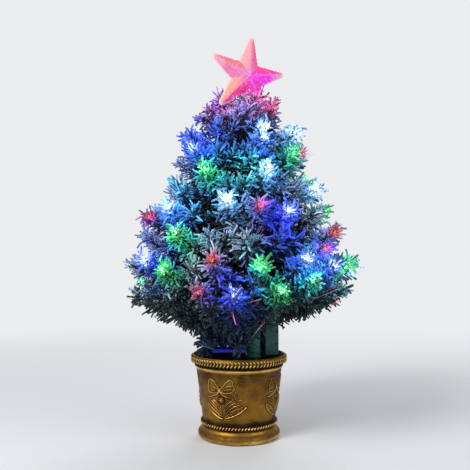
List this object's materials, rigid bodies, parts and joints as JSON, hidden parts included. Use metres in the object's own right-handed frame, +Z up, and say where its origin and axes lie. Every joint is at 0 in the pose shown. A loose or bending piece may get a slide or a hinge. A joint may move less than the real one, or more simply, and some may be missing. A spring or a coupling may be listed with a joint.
{
  "type": "fibre optic christmas tree",
  "caption": "Table-top artificial tree with snow-flocked branches, coloured lamps and optical fibres, a lit star on top and an antique gold pot that holds the lamp and colour wheel.",
  "frame": {"origin": "middle of the foot ring's bottom face, on the surface that the pot stands on", "axes": "+Z up along the trunk; -Y towards the front, where the star faces; +X to the right seen from the front"},
  "size_m": [0.337, 0.3339, 0.6043],
  "materials": {
    "antique_gold": "satin",
    "black_plastic": "satin",
    "screw_steel": "satin",
    "white_ceramic": "matte",
    "clear_glass": "gloss",
    "bright_reflector": "polished",
    "motor_steel": "satin",
    "board_green": "satin",
    "board_parts": "gloss",
    "white_plastic": "satin",
    "tree_green": "satin",
    "brass": "satin",
    "clear_fibre": "gloss",
    "tape_green": "satin",
    "box_green": "satin",
    "needles_dark": "matte",
    "needles_frosted": "matte",
    "wire_green": "satin",
    "film_red": "gloss",
    "film_green": "gloss",
    "film_blue": "gloss",
    "film_amber": "gloss",
    "lamp_white": "gloss",
    "lamp_blue": "gloss",
    "lamp_green": "gloss",
    "lamp_red": "gloss",
    "star_pink": "satin",
    "clear_plastic": "gloss"
  },
  "bodies": {
    "pot": {"pot_shell": "antique_gold", "base_cover": "black_plastic", "base_screws": "screw_steel", "deck": "black_plastic", "deck_screws": "screw_steel", "trunk_socket": "black_plastic", "deck_receptacle": "black_plastic", "lamp_holder": "white_ceramic", "lamp_bulb": "clear_glass", "lamp_reflector": "bright_reflector", "lamp_glass": "clear_glass", "wheel_motor": "motor_steel", "motor_screws": "screw_steel", "control_board": "board_green", "board_parts": "board_parts", "power_jack": "black_plastic", "switch_case": "black_plastic", "inner_leads": "black_plastic"},
    "wheel": {"motor_shaft": "motor_steel", "wheel_frame": "white_plastic", "filter_red": "film_red", "filter_green": "film_green", "filter_blue": "film_blue", "filter_amber": "film_amber", "wheel_clip": "motor_steel"},
    "rocker": {"switch_rocker": "black_plastic"},
    "tree": {"trunk_tube": "tree_green", "fibre_ferrule": "brass", "fibre_bundle": "clear_fibre", "trunk_wrap": "tape_green", "taped_bundle": "tape_green", "box_case": "box_green", "box_lid": "box_green", "lid_screws": "screw_steel", "box_bracket": "box_green", "lamp_plug": "black_plastic", "needles_tier_0": "needles_dark", "needles_tier_1": "needles_frosted", "needles_tier_2": "needles_frosted", "needles_tier_3": "needles_frosted", "needles_tier_4": "needles_frosted", "needles_tier_5": "needles_frosted", "needles_tier_6": "needles_frosted", "needles_tier_7": "needles_frosted", "needles_tier_8": "needles_frosted", "needles_tier_9": "needles_frosted", "branch_wires_low": "wire_green", "branch_wires_middle": "wire_green", "branch_wires_high": "wire_green", "lamp_sockets": "tree_green", "lamps_white": "lamp_white", "lamps_blue": "lamp_blue", "lamps_green": "lamp_green", "lamps_red": "lamp_red", "loose_fibres": "clear_fibre", "star_leader": "tree_green"},
    "star": {"star_front": "star_pink", "star_back": "star_pink", "star_socket": "clear_plastic", "star_lamp": "lamp_red"}
  },
  "joints": [
    {"name": "tree_lift", "type": "slide", "parent": "pot", "child": "tree", "axis": [0, 0, 1], "range_m": [0, 0.09]},
    {"name": "star_lift", "type": "slide", "parent": "tree", "child": "star", "axis": [0.1281, 0.0544, 0.9903], "range_m": [0, 0.05]},
    {"name": "wheel_spin", "type": "hinge", "parent": "pot", "child": "wheel", "pos_m": [0, 0.022, 0.0578], "axis": [0, 0, 1], "continuous": true},
    {"name": "switch_rock", "type": "hinge", "parent": "pot", "child": "rocker", "pos_m": [-0.02337, 0.05785, 0.08301], "axis": [-0.9272, -0.3746, 0], "range_deg": [-18, 0]}
  ]
}
